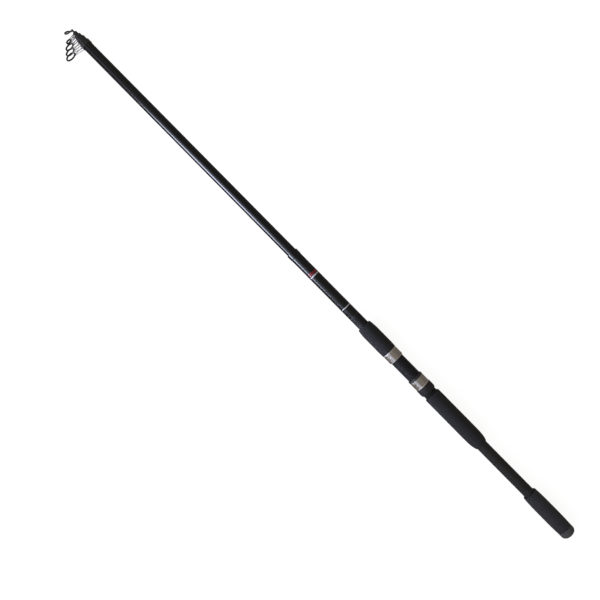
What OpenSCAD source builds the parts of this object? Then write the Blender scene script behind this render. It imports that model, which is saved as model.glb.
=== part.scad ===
// Telescopic fishing rod in six sections, lying on its reel hoods and its largest guide ring.
// Section five is drawn to its lock. The four thinner sections are nested, guide collar on guide collar.
// The rod runs along +X from the centre of its butt end face. The guides point to +Y, the reel foot to -Z.

/* [Butt section] */
// Length of the butt section, from its end face to its mouth
butt_l = 752; // [735:1:820]
// Outside diameter of the butt blank
butt_d = 22.4; // [22:0.1:23.4]
// Wall of the butt blank
butt_wall = 0.95; // [0.8:0.05:1.05]
// Length of the winding round the mouth
mouth_wrap_l = 12.4; // [8:0.2:20]
// Thickness of that winding
mouth_wrap_t = 0.55; // [0.3:0.05:1]

/* [Handle] */
// Exposed length of the butt cap
cap_l = 16; // [12:0.5:20]
// Round of the butt cap's edge
cap_round = 7.5; // [5:0.5:9]
// Length of the butt grip
butt_grip_l = 92.9; // [80:0.1:120]
// Diameter of the butt grip's straight land
butt_grip_d = 31.1; // [29.6:0.1:32.4]
// Length of the rise from the cap to the land
butt_rise_l = 28; // [16:1:34]
// Length of that land, where a rod holder takes the rod
butt_land_l = 32; // [20:1:36]
// Bare blank between the two rear grips
bare_l = 131.2; // [90:0.1:140]
// Length of the rear grip
rear_grip_l = 132.7; // [110:0.1:140]
// Length of the rear grip's blunt nose
rear_nose_l = 55; // [30:1:70]
// Diameter of the rear grip
rear_grip_d = 32.6; // [31:0.1:33.6]
// Length of the fore grip
fore_grip_l = 67.6; // [55:0.1:90]
// Length of the fore grip's front taper
fore_nose_l = 20; // [12:1:30]
// Diameter of the fore grip
fore_grip_d = 32.2; // [31:0.1:33.6]

/* [Reel seat] */
// Length of the reel seat between the grips
seat_l = 116.4; // [113:0.1:125]
// Diameter of the seat's barrel
barrel_d = 27.2; // [26.8:0.1:27.4]
// Height of the flat bed for the reel foot, from the rod's axis
bed_h = 12.2; // [12.1:0.05:12.4]
// Diameter of the two steel hoods
hood_d = 30.6; // [30.4:0.1:31.4]
// Reach of the hoods over the reel foot, from the rod's axis
hood_reach = 18.4; // [18.2:0.1:19.4]
// Thickness of the steel of a hood
hood_steel = 0.7; // [0.5:0.05:0.8]
// Lining under the steel over a foot pocket
hood_lining = 0.5; // [0.4:0.05:0.6]
// Length of the fixed hood
fixed_hood_l = 20.1; // [18:0.1:24]
// Depth of the foot pocket in each hood
pocket_l = 15; // [12:0.5:16]
// Spare thread behind the lock nut
nut_back = 8.7; // [6:0.1:14]
// Length of the sliding hood's steel
slide_steel_l = 18.3; // [15:0.1:19.5]
// Straight part of the sliding hood's black ridge
ridge_l = 3.4; // [2.8:0.1:7]
// Slope in front of the ridge
ridge_slope_l = 1.6; // [1:0.1:4]
// Length of the lock nut
nut_l = 16; // [13:0.1:17]
// Diameter of the lock nut
nut_d = 32.2; // [31.4:0.1:33]
// Number of finger flutes round the nut
nut_flutes = 24; // [16:1:28]

/* [Drawn sections] */
// How far section five stands out of the butt at its lock
section_5_out = 561; // [500:1:600]
// How far each thinner section stands out at its lock
section_out = 571; // [540:1:590]
// Overlap of the tip section at its lock
overlap_tip = 50; // [40:1:55]
// Growth of the overlap with each thicker section
overlap_step = 10; // [6:1:12]
// Wall of section five
wall_5 = 1.05; // [0.95:0.05:1.15]
// Wall of section four
wall_4 = 1.3; // [1.15:0.05:1.4]
// Wall of section three
wall_3 = 1.25; // [1.1:0.05:1.35]
// Wall of section two
wall_2 = 1; // [0.85:0.05:1.1]
// Taper of section five, on the radius
taper_5 = 0.48; // [0.3:0.02:0.6]
// Taper of section four, on the radius
taper_4 = 0.6; // [0.4:0.05:0.7]
// Taper of section three, on the radius
taper_3 = 0.95; // [0.7:0.05:1.05]
// Taper of section two, on the radius
taper_2 = 0.65; // [0.5:0.05:0.75]
// Taper of the tip section, on the radius
taper_tip = 1.4; // [1.1:0.05:1.6]

/* [Guides] */
// Collar length of the guide on section five
collar_5_l = 9.6; // [8:0.2:12]
// Collar length of the guide on section four
collar_4_l = 10.6; // [8:0.2:12]
// Collar length of the guide on section three
collar_3_l = 8; // [7.4:0.2:11]
// Collar length of the guide on section two
collar_2_l = 7.8; // [6.6:0.2:10]
// Ring diameter of the guide on section five
ring_5_d = 22; // [20:0.2:30]
// Ring diameter of the guide on section four
ring_4_d = 20.6; // [19:0.2:25]
// Ring diameter of the guide on section three
ring_3_d = 19; // [16:0.2:20]
// Ring diameter of the guide on section two
ring_2_d = 12.4; // [12:0.2:15]
// Reach of the ring on section five, from the rod's axis
reach_5 = 49; // [46:0.5:54]
// Reach of the ring on section four
reach_4 = 43; // [39:0.5:46]
// Reach of the ring on section three
reach_3 = 36; // [32:0.5:38]
// Reach of the ring on section two
reach_2 = 26.5; // [25:0.5:30]
// How far the ring of section five stands ahead of its collar's middle
ahead_5 = 7; // [0:0.5:7.5]
// How far the ring of section four does
ahead_4 = 3.6; // [0.5:0.1:4]
// How far the other rings stand ahead of their collars' middles
ahead = 1.4; // [0:0.1:2]
// Wire of the guide legs
wire_d = 1.3; // [1:0.05:1.6]
// Radial thickness of a ring's steel holder
holder_t = 0.8; // [0.5:0.05:0.9]
// Width of a ring's steel holder
holder_w = 2.2; // [1.4:0.1:2.4]
// Radial thickness of a ceramic ring
insert_t = 2.1; // [1.6:0.1:2.7]
// Width of a ceramic ring
insert_w = 2.6; // [2.2:0.1:3.6]
// Round of a ceramic ring's inner edges
insert_round = 0.9; // [0.6:0.05:1.6]
// Ring diameter of the tip guide
tip_ring_d = 11.2; // [9.6:0.1:12]
// Reach of the tip guide's ring, from the rod's axis
tip_reach = 16.2; // [14:0.2:17]
// Radial thickness of the tip guide's ceramic ring
tip_insert_t = 1.7; // [1.5:0.1:1.9]
// Forward lean of the tip guide's ring
tip_lean = 20; // [8:1:26]
// How far that ring stands ahead of the tip guide's tube
tip_ahead = 3; // [2.2:0.1:3.6]
// Length of the tip guide's tube
tip_tube_l = 5.6; // [5:0.2:8]
// Outside diameter of that tube
tip_tube_d = 3.4; // [3:0.1:3.8]
// Length of the bead that stops the tip section
bead_l = 2.2; // [1.6:0.1:3]

/* [Fits] */
// Radial running gap of a drawn section in the next one's mouth
slide_gap = 0.12; // [0.08:0.01:0.15]
// Radial gap between glued pieces
glue_gap = 0.02; // [0.01:0.005:0.03]
// Radial gap of the nut and the sliding hood round the barrel
thread_gap = 0.2; // [0.15:0.01:0.3]
// Gap between end faces that meet when a piece is home
face_gap = 0.1; // [0.05:0.01:0.2]
// Lip of a guide collar over the rim that it rests on
collar_lip = 0.28; // [0.2:0.02:0.4]

/* [Hidden] */
$fn = 96;
blank_black = [0.08, 0.08, 0.09];
eva_black = [0.17, 0.17, 0.19];
moulded_black = [0.11, 0.11, 0.12];
steel = [0.72, 0.72, 0.74];
gunmetal = [0.32, 0.33, 0.35];
ceramic = [0.05, 0.05, 0.06];
rubber_grey = [0.24, 0.24, 0.25];

// edges and small steps
tip_short = 0.6;
collar_edge = 0.5;
wrap_rise_l = 0.8;
wrap_edge = 0.4;
nose_drop = 3.6;
nose_power = 6;
nut_taper = 1;
nut_taper_l = 2.6;
nut_edge = 0.25;
nut_rim = 1.4;
ridge_rise = 0.25;
cap_floor = 4.5;
leg_flank = 52;
brace_flank = 75;

// places along the handle, from the butt end face
butt_r = butt_d / 2;
glued_r = butt_r + glue_gap;
butt_grip_x = cap_l;
rear_grip_x = butt_grip_x + butt_grip_l + bare_l;
seat_x = rear_grip_x + rear_grip_l;
fore_grip_x = seat_x + seat_l;
fixed_x = fore_grip_x - fixed_hood_l;
nut_x = seat_x + nut_back;
nut_front_x = nut_x + nut_l;
slide_x = nut_front_x + face_gap;
ridge_x = slide_x + slide_steel_l;
slope_x = ridge_x + ridge_l;
lip_x = slope_x + ridge_slope_l;

// radii of the drawn sections: each base runs in the mouth of the section outside it
mouth_b = butt_r - butt_wall;
base_5 = mouth_b - slide_gap;
tip_5 = base_5 - taper_5;
mouth_5 = tip_5 - wall_5;
base_4 = mouth_5 - slide_gap;
tip_4 = base_4 - taper_4;
mouth_4 = tip_4 - wall_4;
base_3 = mouth_4 - slide_gap;
tip_3 = base_3 - taper_3;
mouth_3 = tip_3 - wall_3;
base_2 = mouth_3 - slide_gap;
tip_2 = base_2 - taper_2;
mouth_2 = tip_2 - wall_2;
base_tip = mouth_2 - slide_gap;
tip_tip = base_tip - taper_tip;

// front ends of the drawn sections, and their lengths
end_5 = butt_l + section_5_out;
end_4 = end_5 + collar_4_l;
end_3 = end_4 + collar_3_l;
end_2 = end_3 + collar_2_l;
bead_x = end_2 + face_gap;
tube_x = bead_x + bead_l;
end_tip = tube_x + tip_tube_l - tip_short;
len_5 = section_5_out + overlap_tip + 4 * overlap_step;
len_4 = section_out + overlap_tip + 3 * overlap_step;
len_3 = section_out + overlap_tip + 2 * overlap_step;
len_2 = section_out + overlap_tip + overlap_step;
len_tip = section_out + overlap_tip;

// the rod rolls until its largest ring is as low as the sliding hood's ridge
lie_angle = asin((hood_reach + ridge_rise - ring_5_d / 2) / (reach_5 - ring_5_d / 2));
cap_r = butt_grip_d / 2 - 0.75;
flange_r = cap_r - 3.2;
stem_r = 7.1;
stem_l = 15;
bush_l = 22;

// a shape turned about the rod's axis, from points given as radius and place along the rod
module turned(points) {
    rotate([0, 90, 0]) rotate_extrude() polygon(points);
}

// a flat outline, seen from the tip with up as up, drawn out along the rod
module along(x0, x1) {
    translate([x0, 0, 0]) rotate([90, 0, 90]) linear_extrude(height = x1 - x0) children();
}

module round_bar(x0, x1, r) {
    translate([x0, 0, 0]) rotate([0, 90, 0]) cylinder(h = x1 - x0, r = r);
}

module toward_guides() {
    rotate([-lie_angle, 0, 0]) children();
}

// points of a grip's shoulder, from its end at x_end up to its full radius at x_full
function shoulder(x_end, x_full, r, drop, power, steps = 8) = [
    for (i = [0 : steps])
        [r - drop * pow(1 - i / steps, power), x_end + (x_full - x_end) * i / steps]
];

function reversed(list) = [for (i = [len(list) - 1 : -1 : 0]) list[i]];

// a grip on the butt blank with a shoulder at each end
module grip(x0, x1, rear, front) {
    turned(concat([[glued_r, x0]], rear, reversed(front), [[glued_r, x1]]));
}

// a tapered tube with a straight land at its front end for the guide collar
module blank(x_end, length, r_base, r_end, r_mouth, land) {
    wall = r_end - r_mouth;
    x_base = x_end - length;
    turned([
        [r_base - wall, x_base], [r_base, x_base], [r_end, x_end - land],
        [r_end, x_end], [r_mouth, x_end], [r_mouth, x_end - land]
    ]);
}

// the oval of a hood: two equal rounds, the second set toward the reel foot, and the sides between them
module hood_oval(inset) {
    r = hood_d / 2 - inset;
    rise = hood_reach - hood_d / 2;
    side = r - 0.03;
    circle(r = r);
    translate([0, -rise]) circle(r = r);
    translate([-side, -rise]) square([2 * side, rise]);
}

// the room for a reel foot between the barrel's flat and the hood's lining
module foot_pocket() {
    intersection() {
        hood_oval(hood_steel + hood_lining);
        translate([-hood_d, -2 * hood_d - bed_h]) square([2 * hood_d, 2 * hood_d]);
    }
}

// the barrel's section: round, with a flat toward the reel foot
module barrel_section(gap) {
    intersection() {
        circle(r = barrel_d / 2 + gap);
        translate([-hood_d, -bed_h - gap]) square([2 * hood_d, 2 * hood_d]);
    }
}

module strut(a, b, r) {
    run = b - a;
    length = norm(run);
    translate(a)
        rotate([0, acos(run[2] / length), atan2(run[1], run[0])])
            cylinder(h = length, r = r, $fn = 32);
}

// a ring's steel holder, and the hole in it
module ring_holder(ring_d) {
    turned([
        [ring_d / 2 - holder_t, -holder_w / 2], [ring_d / 2, -holder_w / 2],
        [ring_d / 2, holder_w / 2], [ring_d / 2 - holder_t, holder_w / 2]
    ]);
}

module ring_hole(ring_d) {
    half = max(holder_w, insert_w / 2 + 0.4);
    round_bar(-half, half, ring_d / 2 - holder_t);
}

// a ceramic ring with rounded inner edges, glued in its holder (a thin ring is narrower too)
module ceramic_ring(ring_d, thick) {
    r_out = ring_d / 2 - holder_t - glue_gap;
    r_in = r_out - thick;
    half = min(insert_w / 2, 0.8 * thick);
    r_round = min(insert_round, half - 0.1, thick - 0.1);
    r_mid = r_in + r_round;
    flat = half - r_round;
    rotate([0, 90, 0]) rotate_extrude() union() {
        translate([r_mid, -half]) square([r_out - r_mid, 2 * half]);
        translate([r_in, -flat]) square([r_round, 2 * flat]);
        for (side = [-1, 1])
            intersection() {
                translate([r_mid, side * flat]) circle(r = r_round);
                translate([r_in, side > 0 ? flat : -half]) square([r_round, r_round]);
            }
    }
}

// a collar, a ring holder and four wires, which run in pairs from the collar's ends to the ring's flanks
module guide_frame(x_end, collar_l, r_land, r_seat, ring_d, reach, lead) {
    r_bore = r_land + glue_gap;
    r_collar = r_seat + collar_lip;
    length = collar_l - face_gap;
    half = length / 2;
    hold_r = ring_d / 2 - 2 * holder_t;
    ring_y = reach - ring_d / 2;
    leg_y = ring_y - hold_r * cos(leg_flank);
    leg_z = hold_r * sin(leg_flank);
    r_inner = r_bore - collar_edge;
    toward_guides() translate([x_end - half, 0, 0]) difference() {
        union() {
            turned([
                [r_inner, -half], [r_collar, -half], [r_collar, half - collar_edge],
                [r_collar - collar_edge, half], [r_inner, half]
            ]);
            translate([lead, ring_y, 0]) ring_holder(ring_d);
            for (end = [-1, 1], side = [-1, 1])
                strut(
                    [end * (half - wire_d), 0.6 * r_bore, side * 0.4 * r_bore],
                    [lead + end * holder_w / 4, leg_y, side * leg_z],
                    wire_d / 2
                );
        }
        round_bar(-collar_l, collar_l, r_bore);
        translate([lead, ring_y, 0]) ring_hole(ring_d);
    }
}

module guide_ring(x_end, collar_l, ring_d, reach, lead) {
    ring_x = x_end - (collar_l - face_gap) / 2 + lead;
    toward_guides() translate([ring_x, reach - ring_d / 2, 0]) ceramic_ring(ring_d, insert_t);
}

// the leaning frame of the tip guide's ring
module tip_ring_place() {
    toward_guides() translate([tube_x + tip_tube_l + tip_ahead, tip_reach - tip_ring_d / 2, 0])
        rotate([0, 0, -tip_lean]) children();
}

module butt_blank() {
    color(blank_black) turned([[mouth_b, cap_l], [butt_r, cap_l], [butt_r, butt_l], [mouth_b, butt_l]]);
}

module mouth_winding() {
    x0 = butt_l - mouth_wrap_l;
    r = glued_r + mouth_wrap_t;
    color(moulded_black) turned([
        [glued_r, x0], [glued_r + mouth_wrap_t / 2, x0], [r, x0 + wrap_rise_l],
        [r, butt_l - wrap_edge], [glued_r + mouth_wrap_t / 2, butt_l], [glued_r, butt_l]
    ]);
}

module fore_grip() {
    x1 = fore_grip_x + fore_grip_l;
    r = fore_grip_d / 2;
    color(eva_black) grip(
        fore_grip_x, x1,
        shoulder(fore_grip_x, fore_grip_x + 16, r, 0.35, 2),
        shoulder(x1, x1 - fore_nose_l, r, 1.9, 2)
    );
}

module rear_grip() {
    x1 = rear_grip_x + rear_grip_l;
    r = rear_grip_d / 2;
    color(eva_black) grip(
        rear_grip_x, x1,
        shoulder(rear_grip_x, rear_grip_x + rear_nose_l, r, nose_drop, nose_power, 14),
        shoulder(x1, x1 - 2, r, 0.6, 2, 3)
    );
}

module butt_grip() {
    x1 = butt_grip_x + butt_grip_l;
    land_x = butt_grip_x + butt_rise_l;
    r = butt_grip_d / 2;
    color(eva_black) grip(
        butt_grip_x, x1,
        shoulder(butt_grip_x, land_x, r, 0.75, 2),
        shoulder(x1, land_x + butt_land_l, r, 1.2, 2)
    );
}

module butt_bush() {
    r = mouth_b - glue_gap;
    bore_r = stem_r + thread_gap;
    color(moulded_black) turned([[bore_r, cap_l], [r, cap_l], [r, cap_l + bush_l], [bore_r, cap_l + bush_l]]);
}

module butt_cap() {
    x1 = cap_l - face_gap;
    r = flange_r + glue_gap;
    edge = [for (a = [0 : 10 : 90]) [cap_r - cap_round * (1 - sin(a)), cap_round * (1 - cos(a))]];
    color(rubber_grey) turned(concat([[0, 0]], edge, [[cap_r, x1], [r, x1], [r, cap_floor], [0, cap_floor]]));
}

module cap_spigot() {
    x0 = cap_floor + glue_gap;
    x1 = cap_l - face_gap;
    color(moulded_black) turned([
        [0, x0], [flange_r, x0], [flange_r, x1], [stem_r, x1],
        [stem_r, x1 + stem_l - 1], [stem_r - 1, x1 + stem_l], [0, x1 + stem_l]
    ]);
}

module reel_seat_body() {
    color(moulded_black) difference() {
        union() {
            along(seat_x, fore_grip_x) barrel_section(0);
            along(fixed_x, fore_grip_x) hood_oval(hood_steel + glue_gap);
        }
        round_bar(seat_x - 1, fore_grip_x + 1, glued_r);
        along(fixed_x - 1, fixed_x + pocket_l) foot_pocket();
    }
}

module hood_shell(x0, x1) {
    along(x0, x1) difference() {
        hood_oval(0);
        hood_oval(hood_steel);
    }
}

module fixed_hood_shell() {
    color(steel) hood_shell(fixed_x, fore_grip_x);
}

module sliding_hood_shell() {
    color(steel) hood_shell(slide_x, ridge_x);
}

module sliding_hood_core() {
    pocket_x = lip_x - pocket_l - 2;
    slope_r = hood_d / 2 + ridge_rise - 0.2;
    color(moulded_black) difference() {
        union() {
            along(slide_x, ridge_x) hood_oval(hood_steel + glue_gap);
            along(ridge_x, slope_x) hood_oval(-ridge_rise);
            turned([
                [barrel_d / 2, slope_x - 1], [slope_r, slope_x - 1],
                [slope_r, slope_x], [barrel_d / 2 + 0.6, lip_x], [barrel_d / 2, lip_x]
            ]);
        }
        along(slide_x - 1, lip_x + 1) barrel_section(thread_gap);
        along(pocket_x, lip_x + 1) foot_pocket();
    }
}

module lock_nut() {
    r = nut_d / 2;
    bore_r = barrel_d / 2 + thread_gap;
    flute_r = 1.2;
    color(moulded_black) difference() {
        turned([
            [bore_r, nut_x], [r - nut_taper, nut_x], [r, nut_x + nut_taper_l],
            [r, nut_front_x - nut_edge], [r - nut_edge, nut_front_x], [bore_r, nut_front_x]
        ]);
        for (i = [0 : nut_flutes - 1])
            rotate([i * 360 / nut_flutes, 0, 0]) translate([0, 0, r + flute_r / 2])
                round_bar(nut_x + nut_taper_l + nut_edge, nut_front_x - nut_rim, flute_r, $fn = 32);
    }
}

module section_5() {
    color(blank_black) blank(end_5, len_5, base_5, tip_5, mouth_5, collar_5_l);
}

module guide_5_frame() {
    color(gunmetal) guide_frame(end_5, collar_5_l, tip_5, mouth_b, ring_5_d, reach_5, ahead_5);
}

module guide_5_ring() {
    color(ceramic) guide_ring(end_5, collar_5_l, ring_5_d, reach_5, ahead_5);
}

module section_4() {
    color(blank_black) blank(end_4, len_4, base_4, tip_4, mouth_4, collar_4_l);
}

module guide_4_frame() {
    color(gunmetal) guide_frame(end_4, collar_4_l, tip_4, mouth_5, ring_4_d, reach_4, ahead_4);
}

module guide_4_ring() {
    color(ceramic) guide_ring(end_4, collar_4_l, ring_4_d, reach_4, ahead_4);
}

module section_3() {
    color(blank_black) blank(end_3, len_3, base_3, tip_3, mouth_3, collar_3_l);
}

module guide_3_frame() {
    color(gunmetal) guide_frame(end_3, collar_3_l, tip_3, mouth_4, ring_3_d, reach_3, ahead);
}

module guide_3_ring() {
    color(ceramic) guide_ring(end_3, collar_3_l, ring_3_d, reach_3, ahead);
}

module section_2() {
    color(blank_black) blank(end_2, len_2, base_2, tip_2, mouth_2, collar_2_l);
}

module guide_2_frame() {
    color(gunmetal) guide_frame(end_2, collar_2_l, tip_2, mouth_3, ring_2_d, reach_2, ahead);
}

module guide_2_ring() {
    color(ceramic) guide_ring(end_2, collar_2_l, ring_2_d, reach_2, ahead);
}

module tip_section() {
    x_base = end_tip - len_tip;
    color(blank_black) turned([
        [0, x_base], [base_tip, x_base], [tip_tip, bead_x], [tip_tip, end_tip], [0, end_tip]
    ]);
}

module tip_bead() {
    r_bore = tip_tip + glue_gap;
    r = mouth_2 + collar_lip;
    color(blank_black) turned([
        [r_bore, bead_x], [r, bead_x], [r, bead_x + bead_l / 2],
        [tip_tube_d / 2, tube_x], [r_bore, tube_x]
    ]);
}

// a tube with a leaning ring holder on one short wire and two braces
module tip_top_frame() {
    r_bore = tip_tip + glue_gap;
    tube_end = tube_x + tip_tube_l;
    hold_r = tip_ring_d / 2 - 1.5 * holder_t;
    ring_x = tube_end + tip_ahead;
    ring_y = tip_reach - tip_ring_d / 2;
    color(gunmetal) difference() {
        union() {
            round_bar(tube_x, tube_end, tip_tube_d / 2);
            tip_ring_place() ring_holder(tip_ring_d);
            toward_guides() {
                strut(
                    [tube_end - 0.9, 0, 0],
                    [ring_x - hold_r * sin(tip_lean), ring_y - hold_r * cos(tip_lean), 0],
                    wire_d / 2
                );
                for (side = [-1, 1])
                    strut(
                        [tube_x + 1.2, 0, side * 0.5],
                        [ring_x, ring_y - hold_r * cos(brace_flank), side * hold_r * sin(brace_flank)],
                        wire_d / 2
                    );
            }
        }
        round_bar(tube_x - 1, end_tip + glue_gap, r_bore);
        tip_ring_place() ring_hole(tip_ring_d);
    }
}

module tip_top_ring() {
    color(ceramic) tip_ring_place() ceramic_ring(tip_ring_d, tip_insert_t);
}

butt_blank();
mouth_winding();
fore_grip();
reel_seat_body();
fixed_hood_shell();
rear_grip();
butt_grip();
butt_bush();
butt_cap();
cap_spigot();
sliding_hood_shell();
sliding_hood_core();
lock_nut();
section_5();
guide_5_frame();
guide_5_ring();
section_4();
guide_4_frame();
guide_4_ring();
section_3();
guide_3_frame();
guide_3_ring();
section_2();
guide_2_frame();
guide_2_ring();
tip_section();
tip_bead();
tip_top_frame();
tip_top_ring();
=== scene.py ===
import bpy
import math
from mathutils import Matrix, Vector


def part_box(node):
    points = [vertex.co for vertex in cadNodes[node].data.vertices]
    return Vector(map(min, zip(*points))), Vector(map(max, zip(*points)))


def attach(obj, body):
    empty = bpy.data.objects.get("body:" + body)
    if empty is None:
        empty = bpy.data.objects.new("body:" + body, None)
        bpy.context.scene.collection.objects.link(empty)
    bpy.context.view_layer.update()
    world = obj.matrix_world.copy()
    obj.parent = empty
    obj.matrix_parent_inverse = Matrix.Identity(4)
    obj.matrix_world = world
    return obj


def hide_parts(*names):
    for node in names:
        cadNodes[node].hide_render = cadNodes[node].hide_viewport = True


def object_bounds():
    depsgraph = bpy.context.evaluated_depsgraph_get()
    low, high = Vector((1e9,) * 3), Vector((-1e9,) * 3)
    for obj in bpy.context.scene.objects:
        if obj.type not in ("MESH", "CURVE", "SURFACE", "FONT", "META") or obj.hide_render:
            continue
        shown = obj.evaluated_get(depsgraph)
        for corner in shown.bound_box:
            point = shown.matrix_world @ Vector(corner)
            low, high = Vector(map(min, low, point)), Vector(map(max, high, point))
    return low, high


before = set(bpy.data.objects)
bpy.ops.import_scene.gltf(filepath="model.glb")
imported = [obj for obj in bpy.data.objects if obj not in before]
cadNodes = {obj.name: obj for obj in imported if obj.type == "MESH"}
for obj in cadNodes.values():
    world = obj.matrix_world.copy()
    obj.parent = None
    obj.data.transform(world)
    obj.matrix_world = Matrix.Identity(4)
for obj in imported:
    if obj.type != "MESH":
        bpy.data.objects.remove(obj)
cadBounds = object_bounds()
mm = 0.001
fullTurn = 2 * math.pi
print("frame loaded with", len(cadNodes), "nodes")

cameraView = {
    "place": (0.67695, 0.0521, 1.330),  # straight above the middle of the picture
    "turn": -134.62,  # degrees about the vertical, so that the tip points up and left
    "lens": 42.0,
    "sensor": 36.0,
    "clipEnd": 60.0,
}


def setCamera(values):
    turn = math.radians(values["turn"])
    bpy.ops.object.camera_add(location=values["place"], rotation=(0, 0, turn))
    camera = bpy.context.object
    camera.name = "photoCamera"
    camera.data.lens = values["lens"]
    camera.data.sensor_width = values["sensor"]
    camera.data.clip_end = values["clipEnd"]
    bpy.context.scene.camera = camera


setCamera(cameraView)
print("camera set")


# shader values that take part in plain sums
class Signal:
    def __init__(self, tree, socket):
        self.tree = tree
        self.socket = socket

    def step(self, operation, *values):
        node = self.tree.nodes.new("ShaderNodeMath")
        node.operation = operation
        for place, value in enumerate(values):
            if isinstance(value, Signal):
                self.tree.links.new(value.socket, node.inputs[place])
            else:
                node.inputs[place].default_value = value
        return Signal(self.tree, node.outputs[0])

    def __add__(self, other):
        return self.step("ADD", self, other)

    def __radd__(self, other):
        return self.step("ADD", other, self)

    def __sub__(self, other):
        return self.step("SUBTRACT", self, other)

    def __rsub__(self, other):
        return self.step("SUBTRACT", other, self)

    def __mul__(self, other):
        return self.step("MULTIPLY", self, other)

    def __truediv__(self, other):
        return self.step("DIVIDE", self, other)

    def __gt__(self, other):
        return self.step("GREATER_THAN", self, other)

    def __lt__(self, other):
        return self.step("LESS_THAN", self, other)

    def sine(self):
        return self.step("SINE", self)

    def root(self):
        return self.step("SQRT", self)

    def angleWith(self, other):
        return self.step("ARCTAN2", self, other)

    def near(self, centre, half):  # 1 within half of centre, else 0
        return self.step("COMPARE", self, centre, half)


class Finish:
    def __init__(self, name):
        self.material = bpy.data.materials.new(name)
        self.material.use_nodes = True
        self.tree = self.material.node_tree
        self.tree.nodes.clear()
        self.shader = self.tree.nodes.new("ShaderNodeBsdfPrincipled")
        output = self.tree.nodes.new("ShaderNodeOutputMaterial")
        self.tree.links.new(self.shader.outputs[0], output.inputs["Surface"])

    def feed(self, socket, value):
        if isinstance(value, Signal):
            self.tree.links.new(value.socket, socket)
        else:
            socket.default_value = value

    def add(self, kind, settings=None, sockets=None, give=0):  # any node, its settings first
        node = self.tree.nodes.new(kind)
        for name, value in (settings or {}).items():
            setattr(node, name, value)
        for name, value in (sockets or {}).items():
            self.feed(node.inputs[name], value)
        return Signal(self.tree, node.outputs[give])

    def place(self):  # where a point is on the rod, in metres
        return self.add("ShaderNodeTexCoord", give="Object")

    def parts(self, vector):
        node = self.tree.nodes.new("ShaderNodeSeparateXYZ")
        self.tree.links.new(vector.socket, node.inputs[0])
        return [Signal(self.tree, output) for output in node.outputs]

    def stretch(self, vector, scale):
        return self.add("ShaderNodeMapping", sockets={"Vector": vector, "Scale": scale})

    def noise(self, vector, scale, detail=3.0, roughness=0.55):
        return self.add("ShaderNodeTexNoise", sockets={
            "Vector": vector, "Scale": scale, "Detail": detail, "Roughness": roughness})

    def blend(self, share, low, high):  # colours by a share
        return self.add("ShaderNodeMix", {"data_type": "RGBA"}, {0: share, 6: low, 7: high}, give=2)

    def bump(self, height, strength, distance):
        return self.add("ShaderNodeBump", sockets={
            "Height": height, "Strength": strength, "Distance": distance}, give="Normal")

    def helix(self, point, pitch):  # a wave that winds round the rod, from -1 to 1
        x, y, z = self.parts(point)
        turn = z.angleWith(y) / fullTurn
        return ((x / pitch + turn) * fullTurn).sine()

    def coat(self, **values):  # the shader's own sockets, by their names without spaces
        names = {socket.name.replace(" ", ""): socket for socket in self.shader.inputs}
        for name, value in values.items():
            self.feed(names[name], value)
        return self.material


blankMarks = {
    "base": (0.0022, 0.0024, 0.0032, 1.0),
    "fleck": (0.0045, 0.0052, 0.0075, 1.0),
    "white": (0.78, 0.78, 0.8, 1.0),
    "red": (0.30, 0.022, 0.028, 1.0),
    "wrapPitch": 3.2 * mm,  # of the cloth wrapped on the mandrel
    "wrapShare": 0.5,  # of the relief
    "fleckShare": 0.35,
    "fleckSize": (220, 900, 900),  # long along the rod
    "relief": 0.12,
    "reliefDepth": 0.05 * mm,
    "gloss": 0.135,  # roughness of the lacquer
    "glossFleck": 0.05,
    "buttDull": 0.055,  # the butt is a little duller than the drawn blanks
    "satinDull": 0.4,
    "lacquerEdge": 583.45 * mm,  # satin behind it, gloss in front
    "edgeHalf": 0.5 * mm,
    "edgeShare": 0.5,
    "edgeLine": (0.09, 0.09, 0.09, 1.0),
    "whiteRings": ((606.35 * mm, 0.85 * mm), (691.15 * mm, 1.1 * mm)),
    "redRings": ((694.2 * mm, 0.7 * mm), (696.25 * mm, 0.7 * mm), (698.3 * mm, 0.7 * mm)),
    "seamHalf": math.radians(38),  # the stripes stop this far to each side of the guides' line
    "handledEnd": 260 * mm,  # painted light: the butt blank is painted lighter behind it
    "handled": (0.0195, 0.019, 0.0195, 1.0),
}


def blankLacquer(name, values, marked=False):
    look = Finish(name)
    point = look.place()
    x, y, z = look.parts(point)
    wrap = look.helix(point, values["wrapPitch"])
    fleck = look.noise(look.stretch(point, values["fleckSize"]), 1.0, detail=4.0)
    colour = look.blend(fleck, values["base"], values["fleck"])
    gloss = values["gloss"] + fleck * values["glossFleck"]
    if marked:
        satin = x < values["lacquerEdge"]
        gloss = gloss + values["buttDull"] + satin * values["satinDull"]
        # painted light: the rear of the butt blank is painted lighter, standing in for brighter light
        # there
        colour = look.blend(x < values["handledEnd"], colour, values["handled"])
        edge = x.near(values["lacquerEdge"], values["edgeHalf"])
        colour = look.blend(edge * values["edgeShare"], colour, values["edgeLine"])
        printed = 1 - z.angleWith(y).near(0, values["seamHalf"])
        for centre, half in values["whiteRings"]:
            colour = look.blend(x.near(centre, half) * printed, colour, values["white"])
        for centre, half in values["redRings"]:
            colour = look.blend(x.near(centre, half) * printed, colour, values["red"])
    height = wrap * values["wrapShare"] + fleck * values["fleckShare"]
    return look.coat(
        BaseColor=colour, Roughness=gloss,
        Normal=look.bump(height, values["relief"], values["reliefDepth"]))


foamLook = {
    "dark": (0.0195, 0.02, 0.0235, 1.0),
    "light": (0.042, 0.043, 0.0505, 1.0),
    "cell": 0.55 * mm,
    "pit": 0.12 * mm,
    "relief": 0.35,
    "cellShare": 0.8,  # of the relief
    "grainShare": 0.4,
    "grain": 2600.0,
    "cloud": 38.0,
    "cloudTone": 0.55,  # of the colour's change, the rest is grain
    "grainTone": 0.45,
    "dull": 0.78,
    "dullGrain": 0.14,
    "sheen": 0.08,
    "sheenDull": 0.45,
}


def deepen(colour, depth):
    return tuple(part * depth for part in colour[:3]) + (1.0,)


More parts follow.
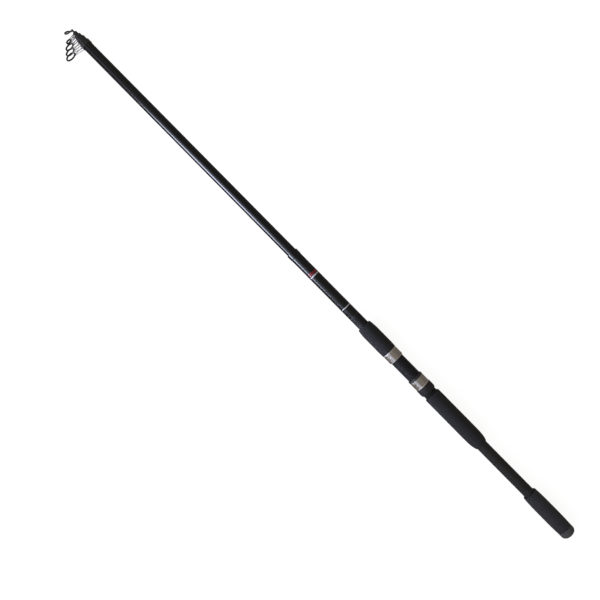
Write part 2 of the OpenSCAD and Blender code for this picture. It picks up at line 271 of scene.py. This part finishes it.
def foamFinish(name, values, tone, depth):
    look = Finish(name)
    dark = deepen(values["dark"], depth)
    light = deepen(values["light"], depth)
    point = look.place()
    cells = look.add("ShaderNodeTexVoronoi", {"feature": "F1"}, {
        "Vector": point, "Scale": 1 / values["cell"], "Randomness": 1.0}, give="Distance")
    grain = look.noise(point, values["grain"], detail=4.0)
    cloud = look.noise(point, values["cloud"], detail=3.0)
    # tone and depth paint each grip's foam paler or darker: painted light and shade for how light falls
    # on it
    paler = (cloud * values["cloudTone"] + grain * values["grainTone"]) * tone
    height = cells * values["cellShare"] + grain * values["grainShare"]
    return look.coat(
        BaseColor=look.blend(paler, dark, light),
        Roughness=values["dull"] + grain * values["dullGrain"],
        SheenWeight=values["sheen"], SheenRoughness=values["sheenDull"],
        Normal=look.bump(height, values["relief"], values["pit"]))


steelLook = {
    "dark": (0.455, 0.425, 0.385, 1.0),
    "light": (0.565, 0.53, 0.485, 1.0),
    "rim": (0.72, 0.69, 0.655, 1.0),  # painted highlight: a lighter band at each end standing in for the rolled edge's reflection, also rougher
    "rims": {"fixed_hood_shell": (0.9 * mm, 2.0 * mm), "sliding_hood_shell": (2.2 * mm, 0.9 * mm)},
    "grain": (5200, 45, 45),  # fine along the rod, long round it
    "smudge": 60.0,
    "dull": 0.25,
    "dullGrain": 0.1,
    "dullSmudge": 0.04,
    "dullRim": 0.16,
    "relief": 0.06,
    "reliefDepth": 0.03 * mm,
}


def steelFinish(name, values, node):
    look = Finish(name)
    point = look.place()
    x = look.parts(point)[0]
    low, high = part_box(node)
    rear, front = values["rims"][node]
    # the end bands are painted lighter, a painted highlight of the rolled edges, and made rougher
    rim = x.near(low.x, rear) + x.near(high.x, front)
    grain = look.noise(look.stretch(point, values["grain"]), 1.0, detail=4.0, roughness=0.6)
    smudge = look.noise(point, values["smudge"], detail=3.0)
    brushed = look.blend(grain, values["dark"], values["light"])
    dull = values["dull"] + grain * values["dullGrain"] + smudge * values["dullSmudge"]
    return look.coat(
        BaseColor=look.blend(rim, brushed, values["rim"]), Metallic=1.0,
        Roughness=dull + rim * values["dullRim"],
        Normal=look.bump(grain, values["relief"], values["reliefDepth"]))


mouldLook = {
    "base": (0.0095, 0.0096, 0.0115, 1.0),
    "worn": (0.02, 0.02, 0.023, 1.0),
    "wear": 0.7,
    "grain": 3000.0,
    "cloud": 90.0,
    "dull": 0.42,
    "dullCloud": 0.12,
    "dullGrain": 0.05,
    "relief": 0.16,
    "reliefDepth": 0.04 * mm,
}
nutLook = dict(mouldLook, base=(0.0062, 0.0064, 0.0075, 1.0), worn=(0.014, 0.0142, 0.016, 1.0))


def mouldFinish(name, values, shine):
    look = Finish(name)
    point = look.place()
    grain = look.noise(point, values["grain"], detail=3.0)
    cloud = look.noise(point, values["cloud"], detail=4.0)
    return look.coat(
        BaseColor=look.blend(cloud * values["wear"], values["base"], values["worn"]),
        Roughness=values["dull"] + cloud * values["dullCloud"] + grain * values["dullGrain"],
        SpecularIORLevel=shine,
        Normal=look.bump(grain, values["relief"], values["reliefDepth"]))


rubberLook = {
    "base": (0.08, 0.08, 0.085, 1.0),
    "dusty": (0.12, 0.12, 0.125, 1.0),
    "dust": 140.0,
    "stipple": 2200.0,
    "dull": 0.62,
    "dullDust": 0.2,
    "relief": 0.3,
    "reliefDepth": 0.06 * mm,
}


def rubberFinish(name, values):
    look = Finish(name)
    point = look.place()
    dust = look.noise(point, values["dust"], detail=5.0, roughness=0.65)
    stipple = look.noise(point, values["stipple"], detail=2.0)
    return look.coat(
        BaseColor=look.blend(dust, values["base"], values["dusty"]),
        Roughness=values["dull"] + dust * values["dullDust"],
        Normal=look.bump(stipple, values["relief"], values["reliefDepth"]))


windingLook = {
    "thread": 0.42 * mm,
    "dark": (0.0022, 0.0024, 0.003, 1.0),
    "light": (0.0065, 0.007, 0.0085, 1.0),
    "gloss": 0.05,  # lacquered over
    "glossLay": 0.02,
    "relief": 0.02,
    "reliefDepth": 0.04 * mm,
}


def windingFinish(name, values):
    look = Finish(name)
    lay = look.helix(look.place(), values["thread"]) * 0.5 + 0.5  # from 0 to 1
    return look.coat(
        BaseColor=look.blend(lay, values["dark"], values["light"]),
        Roughness=values["gloss"] + lay * values["glossLay"],
        Normal=look.bump(lay, values["relief"], values["reliefDepth"]))


guideLook = {
    "collar": (0.0085, 0.0087, 0.0102, 1.0),
    "wire": (0.55, 0.55, 0.56, 1.0),
    "collarSkin": 0.5 * mm,  # the finish of the collar ends this far outside it
    "holderDepth": 0.86 * mm,  # of the black holder round a ring
    "scuff": 700.0,
    "wireMetal": 0.95,
    "gloss": 0.2,
    "glossScuff": 0.14,
    "collarCoat": 0.6,
    "wireCoatLoss": 0.5,
    "coatGloss": 0.1,
    "relief": 0.1,
    "reliefDepth": 0.03 * mm,
}
tipGuideLook = dict(guideLook, wire=(0.03, 0.03, 0.033, 1.0))  # blackened wires at the tip


def guideFinish(name, values, collarRadius, ringNode, ringRadius):
    look = Finish(name)
    point = look.place()
    y, z = look.parts(point)[1:]
    low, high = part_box(ringNode)
    middle = (low + high) / 2
    reach = (y * y + z * z).root()
    overY = y - middle.y
    overZ = z - middle.z
    fromRing = (overY * overY + overZ * overZ).root()
    offCollar = reach > collarRadius + values["collarSkin"]
    offHolder = fromRing > ringRadius + values["holderDepth"]
    wire = offCollar * offHolder
    scuff = look.noise(point, values["scuff"], detail=4.0)
    return look.coat(
        BaseColor=look.blend(wire, values["collar"], values["wire"]),
        Metallic=wire * values["wireMetal"],
        Roughness=values["gloss"] + scuff * values["glossScuff"],
        CoatWeight=values["collarCoat"] - wire * values["wireCoatLoss"],
        CoatRoughness=values["coatGloss"],
        Normal=look.bump(scuff, values["relief"], values["reliefDepth"]))


ceramicLook = {
    "dark": (0.006, 0.006, 0.006, 1.0),
    "light": (0.014, 0.014, 0.016, 1.0),
    "cloud": 500.0,
    "gloss": 0.1,
    "glossCloud": 0.06,
    "coat": 0.5,
    "coatGloss": 0.03,
}


def ceramicFinish(name, values):
    look = Finish(name)
    cloud = look.noise(look.place(), values["cloud"], detail=3.0)
    return look.coat(
        BaseColor=look.blend(cloud, values["dark"], values["light"]),
        Roughness=values["gloss"] + cloud * values["glossCloud"],
        CoatWeight=values["coat"], CoatRoughness=values["coatGloss"])


print("finishes ready")


meshing = {
    "mergeGap": 0.004 * mm,  # points of a turned piece nearer than this become one
    "copyMergeGap": 0.002 * mm,
    "flatAngle": math.radians(0.6),  # faces of a copy flatter than this become one
    "smoothAngle": math.radians(32),
    "threadSmoothAngle": math.radians(28),
    "bevelAngle": math.radians(38),
    "softCorner": math.radians(25),  # corners blunter than this stay as they are
    "cornerShare": 0.45,  # of a side, the most that a rounded corner takes
    "cornerSteps": 4,
}
glueGap = 0.02 * mm


def shapeEdges(profile, radius):  # rounds the corners of a closed outline of (x, r) points
    rounded = []
    count = len(profile)
    steps = meshing["cornerSteps"]
    share = meshing["cornerShare"]
    for i, corner in enumerate(profile):
        here = Vector(corner)
        back = Vector(profile[i - 1]) - here
        ahead = Vector(profile[(i + 1) % count]) - here
        if math.pi - back.angle(ahead) < meshing["softCorner"]:
            rounded.append(here)
            continue
        size = min(radius, back.length * share, ahead.length * share)
        a = here + back.normalized() * size
        b = here + ahead.normalized() * size
        for k in range(steps + 1):
            t = k / steps
            rounded.append(a * (1 - t) ** 2 + here * (2 * t * (1 - t)) + b * t ** 2)
    return [(p.x, p.y) for p in rounded]


def lathe(name, outline, sides, closed=True):  # turns an outline of (x, r) points about the rod
    bpy.ops.object.select_all(action="DESELECT")
    x0, r0 = outline[0]
    bpy.ops.mesh.primitive_circle_add(
        vertices=sides, radius=r0, location=(x0, 0, 0), rotation=(0, math.pi / 2, 0))
    piece = bpy.context.object
    piece.name = name
    bpy.ops.object.transform_apply(location=True, rotation=True, scale=True)
    bpy.ops.object.mode_set(mode="EDIT")
    bpy.ops.mesh.select_all(action="SELECT")
    loop = list(outline) + ([outline[0]] if closed else [])
    for (xa, ra), (xb, rb) in zip(loop, loop[1:]):
        bpy.ops.mesh.extrude_edges_indiv()
        bpy.ops.transform.translate(value=(xb - xa, 0, 0))
        bpy.ops.transform.resize(value=(1, rb / ra, rb / ra), center_override=(xb, 0, 0))
    bpy.ops.mesh.select_all(action="SELECT")
    bpy.ops.mesh.remove_doubles(threshold=meshing["mergeGap"])
    bpy.ops.mesh.normals_make_consistent(inside=False)
    bpy.ops.object.mode_set(mode="OBJECT")
    bpy.ops.object.shade_smooth_by_angle(angle=meshing["smoothAngle"])
    return piece


def cadCopy(name, node):  # a merged copy of a node, to be finished by hand
    bpy.ops.object.select_all(action="DESELECT")
    piece = bpy.data.objects.new(name, cadNodes[node].data.copy())
    bpy.context.scene.collection.objects.link(piece)
    bpy.context.view_layer.objects.active = piece
    piece.select_set(True)
    bpy.ops.mesh.customdata_custom_splitnormals_clear()
    bpy.ops.object.mode_set(mode="EDIT")
    bpy.ops.mesh.select_all(action="SELECT")
    bpy.ops.mesh.remove_doubles(threshold=meshing["copyMergeGap"])
    bpy.ops.mesh.dissolve_limited(angle_limit=meshing["flatAngle"])
    bpy.ops.object.mode_set(mode="OBJECT")
    return piece


def breakEdges(piece, width, steps):  # a small bevel on the sharp edges
    bpy.ops.object.select_all(action="DESELECT")
    bpy.context.view_layer.objects.active = piece
    piece.select_set(True)
    bevel = piece.modifiers.new("edgeBreak", "BEVEL")
    bevel.width = width
    bevel.segments = steps
    bevel.limit_method = "ANGLE"
    bevel.angle_limit = meshing["bevelAngle"]
    bevel.use_clamp_overlap = True
    bpy.ops.object.modifier_apply(modifier=bevel.name)
    bpy.ops.object.shade_smooth_by_angle(angle=meshing["smoothAngle"])
    # so that the bevel doesn't pull on the shading of the broad faces
    even = piece.modifiers.new("evenShading", "WEIGHTED_NORMAL")
    even.keep_sharp = True
    bpy.ops.object.modifier_apply(modifier=even.name)


def seat(piece, material, body, node):  # finish, body and the node that the piece stands for
    piece.data.materials.clear()
    piece.data.materials.append(material)
    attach(piece, body)
    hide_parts(node)


def radiusOf(node):  # of a node that is round about the rod
    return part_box(node)[1].z


def shoulder(xEnd, xFull, radius, drop, power, steps):  # from an end's drop up to the full radius
    points = []
    for i in range(steps + 1):
        t = i / steps
        points.append((xEnd + (xFull - xEnd) * t, radius - drop * (1 - t) ** power))
    return points


gripShapes = {
    "butt_grip": {
        "rear": {"length": 28 * mm, "drop": 0.75 * mm, "power": 2},
        "front": {"length": 32.9 * mm, "drop": 1.2 * mm, "power": 2},
        "tone": 1.8,  # painted light: the foam of this grip is painted paler
        "depth": 1.0,
    },
    "rear_grip": {
        "rear": {"length": 55 * mm, "drop": 3.6 * mm, "power": 6},
        "front": {"length": 2 * mm, "drop": 0.6 * mm, "power": 2},
        "tone": 0.1,
        "depth": 1.0,
    },
    "fore_grip": {
        "rear": {"length": 16 * mm, "drop": 0.35 * mm, "power": 2},
        "front": {"length": 20 * mm, "drop": 1.9 * mm, "power": 2},
        "tone": 0.2,
        # painted shade: the fore grip's foam is painted darker for the extra lamp light on it
        "depth": 0.86,
    },
}
gripSleeve = {
    "sides": 96,
    "steps": 18,
    "edge": 0.7 * mm,
    "bore": radiusOf("butt_blank") + glueGap,
}


def makeGrip(node, shape, values):
    low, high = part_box(node)
    radius = radiusOf(node)
    rear = shape["rear"]
    front = shape["front"]
    steps = values["steps"]
    outline = [(low.x, values["bore"])]
    outline += shoulder(low.x, low.x + rear["length"], radius, rear["drop"], rear["power"], steps)
    nose = shoulder(high.x, high.x - front["length"], radius, front["drop"], front["power"], steps)
    outline += nose[::-1]
    outline += [(high.x, values["bore"])]
    sleeve = lathe(node + "Foam", shapeEdges(outline, values["edge"]), values["sides"])
    seat(sleeve, foamFinish(node + "Foam", foamLook, shape["tone"], shape["depth"]), "butt", node)


for gripNode, gripShape in gripShapes.items():
    makeGrip(gripNode, gripShape, gripSleeve)
print("foam grips made")


blankTubes = {
    "sides": 96,
    "edge": 0.25 * mm,
    "butt_blank": {"body": "butt", "wall": 0.95 * mm, "taper": 0, "land": 20 * mm},
    "section_5": {"body": "section_5", "wall": 1.05 * mm, "taper": 0.48 * mm, "land": 9.6 * mm},
    "section_4": {"body": "section_4", "wall": 1.3 * mm, "taper": 0.6 * mm, "land": 10.6 * mm},
    "section_3": {"body": "section_3", "wall": 1.25 * mm, "taper": 0.95 * mm, "land": 8 * mm},
    "section_2": {"body": "section_2", "wall": 1.0 * mm, "taper": 0.65 * mm, "land": 7.8 * mm},
}


def makeTube(node, values, material, sides, edge):
    low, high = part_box(node)
    base = radiusOf(node)
    tip = base - values["taper"]
    wall = values["wall"]
    landX = high.x - values["land"]
    outline = [
        (low.x, base - wall), (low.x, base), (landX, tip), (high.x, tip),
        (high.x, tip - wall), (landX, tip - wall)]
    tube = lathe(node + "Tube", shapeEdges(outline, edge), sides)
    seat(tube, material, values["body"], node)


plainLacquer = blankLacquer("blankLacquer", blankMarks)
markedLacquer = blankLacquer("buttLacquer", blankMarks, marked=True)
for tubeNode in ("butt_blank", "section_5", "section_4", "section_3", "section_2"):
    tubeLacquer = markedLacquer if tubeNode == "butt_blank" else plainLacquer
    makeTube(tubeNode, blankTubes[tubeNode], tubeLacquer, blankTubes["sides"], blankTubes["edge"])
print("blanks turned")


capShape = {
    "sides": 96,
    "round": 7.5 * mm,
    "roundSteps": 12,
    "floor": 4.5 * mm,
    "rimEdge": 0.5 * mm,
    "rimEase": 0.3,
    "pole": 0.001 * mm,  # a turned outline can't start on the axis
}


def makeCap(values, material):
    low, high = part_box("butt_cap")
    radius = high.z
    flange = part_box("cap_spigot")[1].z + glueGap
    bend = values["round"]
    outline = [(low.x, values["pole"])]
    for k in range(values["roundSteps"] + 1):
        a = math.radians(90 * k / values["roundSteps"])
        outline.append((low.x + bend * (1 - math.cos(a)), radius - bend * (1 - math.sin(a))))
    edge = values["rimEdge"]
    ease = edge * values["rimEase"]
    outline += [(high.x - edge, radius), (high.x - ease, radius - ease), (high.x, radius - edge)]
    floor = low.x + values["floor"]
    outline += [(high.x, flange), (floor, flange), (floor, values["pole"])]
    cap = lathe("buttCapDome", outline, values["sides"], closed=False)
    seat(cap, material, "end_cap", "butt_cap")


makeCap(capShape, rubberFinish("capRubber", rubberLook))
print("butt cap made")


windingShape = {
    "sides": 96,
    "steps": 10,
    "rear": {"length": 1.6 * mm, "start": 0.25},  # start is a share of the winding's height
    "front": {"length": 0.6 * mm, "start": 0.4},
}


def runOut(x, way, shape, bore, rise, steps):  # the lacquer runs out in a smooth shoulder
    points = []
    for k in range(steps + 1):
        a = math.pi / 2 * k / steps
        share = shape["start"] + (1 - shape["start"]) * math.sin(a)
        points.append((x + way * shape["length"] * (1 - math.cos(a)), bore + rise * share))
    return points


def makeWinding(values, material):
    low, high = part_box("mouth_winding")
    bore = radiusOf("butt_blank") + glueGap
    rise = radiusOf("mouth_winding") - bore
    outline = [(low.x, bore)]
    outline += runOut(low.x, 1, values["rear"], bore, rise, values["steps"])
    outline += runOut(high.x, -1, values["front"], bore, rise, values["steps"])[::-1]
    outline.append((high.x, bore))
    band = lathe("mouthWindingLacquered", outline, values["sides"])
    seat(band, material, "butt", "mouth_winding")


makeWinding(windingShape, windingFinish("windingThread", windingLook))
print("mouth winding made")


seatThread = {
    "pitch": 2.5 * mm,
    "depth": 0.62 * mm,
    "halfWidth": 0.85 * mm,  # of the groove at the surface
    "end": 419 * mm,
    "steps": 56,
}
capThread = {
    "pitch": 2.0 * mm,
    "depth": 0.55 * mm,
    "halfWidth": 0.75 * mm,
    "relief": 1.0 * mm,  # plain stem beside the flange
    "steps": 37,
}
threadCutter = {
    "over": 0.3,  # of a groove's depth, by which the cutter stands off the surface
    "turn": math.radians(2.3),  # keeps the cutter's facets off those of the piece
}


# cuts a helical groove of V section: side is 1 for an outer thread and -1 for one in a bore
def cutThread(body, values, radius, start, end, side):
    over = threadCutter["over"]
    bpy.ops.object.select_all(action="DESELECT")
    bpy.ops.mesh.primitive_circle_add(vertices=4, radius=1.0, rotation=(math.pi / 2, 0, 0))
    cutter = bpy.context.object
    cutter.name = "threadCutter"
    cutter.scale = (values["halfWidth"] * (1 + over), values["depth"] * (1 + over), 1)
    bpy.ops.object.transform_apply(location=False, rotation=True, scale=True)
    bpy.ops.object.mode_set(mode="EDIT")
    bpy.ops.mesh.select_all(action="SELECT")
    bpy.ops.transform.translate(value=(start, 0, radius + side * values["depth"] * over))
    bpy.ops.object.mode_set(mode="OBJECT")
    screw = cutter.modifiers.new("helix", "SCREW")
    screw.axis = "X"
    screw.angle = fullTurn
    screw.screw_offset = values["pitch"]
    screw.iterations = round((end - start) / values["pitch"])
    screw.steps = values["steps"]
    screw.render_steps = values["steps"]
    bpy.ops.object.modifier_apply(modifier=screw.name)
    cutter.rotation_euler = (threadCutter["turn"], 0, 0)
    bpy.ops.object.transform_apply(location=False, rotation=True, scale=False)
    bpy.ops.object.mode_set(mode="EDIT")
    bpy.ops.mesh.select_all(action="DESELECT")
    bpy.ops.mesh.select_non_manifold()
    bpy.ops.mesh.fill()  # closes both ends of the helix
    bpy.ops.mesh.select_all(action="SELECT")
    bpy.ops.mesh.normals_make_consistent(inside=False)
    bpy.ops.object.mode_set(mode="OBJECT")
    bpy.ops.object.select_all(action="DESELECT")
    bpy.context.view_layer.objects.active = body
    body.select_set(True)
    cut = body.modifiers.new("thread", "BOOLEAN")
    cut.operation = "DIFFERENCE"
    cut.solver = "EXACT"
    cut.object = cutter
    bpy.ops.object.modifier_apply(modifier=cut.name)
    bpy.data.objects.remove(cutter, do_unlink=True)
    bpy.ops.object.shade_smooth_by_angle(angle=meshing["threadSmoothAngle"])


def reachNear(node, x, within):  # the radii about the rod of a node's points near x
    points = [v.co for v in cadNodes[node].data.vertices]
    return [math.hypot(p.y, p.z) for p in points if abs(p.x - x) < within]


def makeSeatBody(values, material):
    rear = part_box("reel_seat_body")[0].x
    body = cadCopy("reelSeatBarrel", "reel_seat_body")
    radius = max(reachNear("reel_seat_body", rear, within=1 * mm))
    cutThread(body, values, radius, rear - values["pitch"], values["end"], 1)
    seat(body, material, "butt", "reel_seat_body")


def makeCapScrew(values, material):
    low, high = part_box("butt_bush")
    bush = cadCopy("buttBushThreaded", "butt_bush")
    bore = min(reachNear("butt_bush", low.x, within=1 * mm))
    cutThread(bush, values, bore, low.x - values["pitch"], high.x + values["pitch"], -1)
    seat(bush, material, "butt", "butt_bush")
    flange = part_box("butt_cap")[1].x
    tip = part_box("cap_spigot")[1].x
    spigot = cadCopy("capSpigotThreaded", "cap_spigot")
    stem = min(reachNear("cap_spigot", flange, within=0.5 * mm))
    start = flange + values["relief"] + values["halfWidth"]
    cutThread(spigot, values, stem, start, tip + values["pitch"], 1)
    seat(spigot, material, "end_cap", "cap_spigot")


moulded = mouldFinish("mouldedBlack", mouldLook, shine=0.95)
makeSeatBody(seatThread, mouldFinish("seatBlack", mouldLook, shine=0.28))
makeCapScrew(capThread, moulded)
print("threads cut")


clampEdges = {  # width and steps of each edge break
    "steel": (0.1 * mm, 3),
    "core": (0.25 * mm, 2),
    "nut": (0.3 * mm, 2),
}


def makeClamp(values):
    for node, body, name in (
            ("fixed_hood_shell", "butt", "fixedHoodSteel"),
            ("sliding_hood_shell", "sliding_hood", "slidingHoodSteel")):
        shell = cadCopy(name, node)
        breakEdges(shell, *values["steel"])
        seat(shell, steelFinish(name, steelLook, node), body, node)
    core = cadCopy("slidingHoodCore", "sliding_hood_core")
    breakEdges(core, *values["core"])
    seat(core, moulded, "sliding_hood", "sliding_hood_core")
    nut = cadCopy("lockNutFluted", "lock_nut")
    breakEdges(nut, *values["nut"])
    seat(nut, mouldFinish("nutBlack", nutLook, shine=0.6), "lock_nut", "lock_nut")


makeClamp(clampEdges)
print("reel clamp made")


def paint(node, material):  # a node whose own shape shows
    for slot in cadNodes[node].material_slots:
        slot.material = material


collarThick = 0.6 * mm
guideSets = {  # the collar is the radius to which the frame is black about the blank
    "guide_5": {"metal": "guide5Metal", "look": guideLook, "collar": radiusOf("section_5") + collarThick},
    "guide_4": {"metal": "guide4Metal", "look": guideLook, "collar": radiusOf("section_4") + collarThick},
    "guide_3": {"metal": "guide3Metal", "look": guideLook, "collar": radiusOf("section_3") + collarThick},
    "guide_2": {"metal": "guide2Metal", "look": guideLook, "collar": -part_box("guide_2_frame")[0].z},
    "tip_top": {"metal": "tipGuideMetal", "look": tipGuideLook, "collar": 1.75 * mm},
}


def paintGuide(guide, values, ringMaterial):
    ring = guide + "_ring"
    low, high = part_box(ring)
    ringRadius = (high.z - low.z) / 2
    metal = guideFinish(values["metal"], values["look"], values["collar"], ring, ringRadius)
    paint(guide + "_frame", metal)
    paint(ring, ringMaterial)


ceramic = ceramicFinish("ringCeramic", ceramicLook)
for guideName, guideSet in guideSets.items():
    paintGuide(guideName, guideSet, ceramic)
paint("tip_bead", plainLacquer)
paint("tip_section", plainLacquer)
print("guides painted")


studio = {
    "floorSize": 14.0,
    "floorMiddle": 0.68,
    "floorGap": 0.05 * mm,  # below the lowest point of the rod
    "floorGlow": 0.90,
    "floorColour": (0.34, 0.34, 0.34, 1.0),
    "floorCloud": (0.3, 0.3, 0.3, 1.0),
    "floorCloudSize": 2.0,
    "floorCloudShare": 0.06,
    "floorDull": 0.9,
    "floorShine": 0.1,
    "room": (0.222, 0.202, 0.18, 1.0),  # dim warm surroundings
    "roomStrength": 1.0,
    "backdrop": (0.93, 0.93, 0.93, 1.0),  # what the camera sees past the floor
    "window": {"place": (0.75, 1.35, 1.30), "aim": (0.75, 0, 0), "size": (3.4, 1.5), "power": 10.8,
               "spread": 180, "colour": (0.755, 0.81, 1.0)},
    "lamp": {"place": (1.115, 1.45, 0.43), "aim": (0.9, 0, 0), "size": (1.0, 0.74), "power": 4.0,
             "spread": 56, "colour": (0.72, 0.785, 1.0)},
    "sky": {"place": (1.1, 0.9, 1.35), "aim": (0.9, 0, 0), "size": (0.9, 0.7), "power": 1.25,
            "spread": 180, "colour": (0.7, 0.78, 1.0)},
    "ceiling": {"place": (2.2, -0.6, 1.5), "aim": (1.3, 0, 0), "size": (0.7, 1.9), "power": 0.75,
                "spread": 180, "colour": (0.93, 0.95, 1.0)},
    "wall": {"place": (0.15, -0.45, 1.6), "aim": (0.4, 0, 0), "size": (0.8, 1.9), "power": 0.5,
             "spread": 180, "colour": (1.0, 0.9, 0.8)},
}


def addLight(name, values):
    bpy.ops.object.select_all(action="DESELECT")
    place = Vector(values["place"])
    turn = (Vector(values["aim"]) - place).to_track_quat("-Z", "Y").to_euler()
    bpy.ops.object.light_add(type="AREA", location=place, rotation=turn)
    light = bpy.context.object
    light.name = name
    light.data.shape = "ELLIPSE"
    light.data.size, light.data.size_y = values["size"]
    light.data.energy = values["power"]
    light.data.spread = math.radians(values["spread"])
    light.data.color = values["colour"]


def addFloor(values):
    bpy.ops.object.select_all(action="DESELECT")
    place = (values["floorMiddle"], 0, cadBounds[0].z - values["floorGap"])
    bpy.ops.mesh.primitive_plane_add(size=values["floorSize"], location=place)
    floor = bpy.context.object
    floor.name = "paleFloor"
    look = Finish("paleFloor")
    cloud = look.noise(look.place(), values["floorCloudSize"], detail=2.0)
    share = cloud * values["floorCloudShare"]
    floor.data.materials.append(look.coat(
        BaseColor=look.blend(share, values["floorColour"], values["floorCloud"]),
        Roughness=values["floorDull"], SpecularIORLevel=values["floorShine"],
        EmissionColor=(1, 1, 1, 1), EmissionStrength=values["floorGlow"]))
    floor.visible_glossy = False  # the rod was photographed clear of its surroundings
    floor.visible_diffuse = False


def addRoom(values):
    world = bpy.data.worlds.new("studioRoom")
    bpy.context.scene.world = world
    world.use_nodes = True
    tree = world.node_tree
    tree.nodes.clear()
    path = tree.nodes.new("ShaderNodeLightPath")
    pick = tree.nodes.new("ShaderNodeMix")
    pick.data_type = "RGBA"
    back = tree.nodes.new("ShaderNodeBackground")
    output = tree.nodes.new("ShaderNodeOutputWorld")
    tree.links.new(path.outputs["Is Camera Ray"], pick.inputs[0])
    pick.inputs[6].default_value = values["room"]
    pick.inputs[7].default_value = values["backdrop"]
    tree.links.new(pick.outputs[2], back.inputs["Color"])
    back.inputs["Strength"].default_value = values["roomStrength"]
    tree.links.new(back.outputs[0], output.inputs["Surface"])


addFloor(studio)
addRoom(studio)
for lightName in ("window", "lamp", "sky", "ceiling", "wall"):
    addLight(lightName + "Light", studio[lightName])
bpy.context.scene.view_settings.view_transform = "Standard"
print("studio lit")
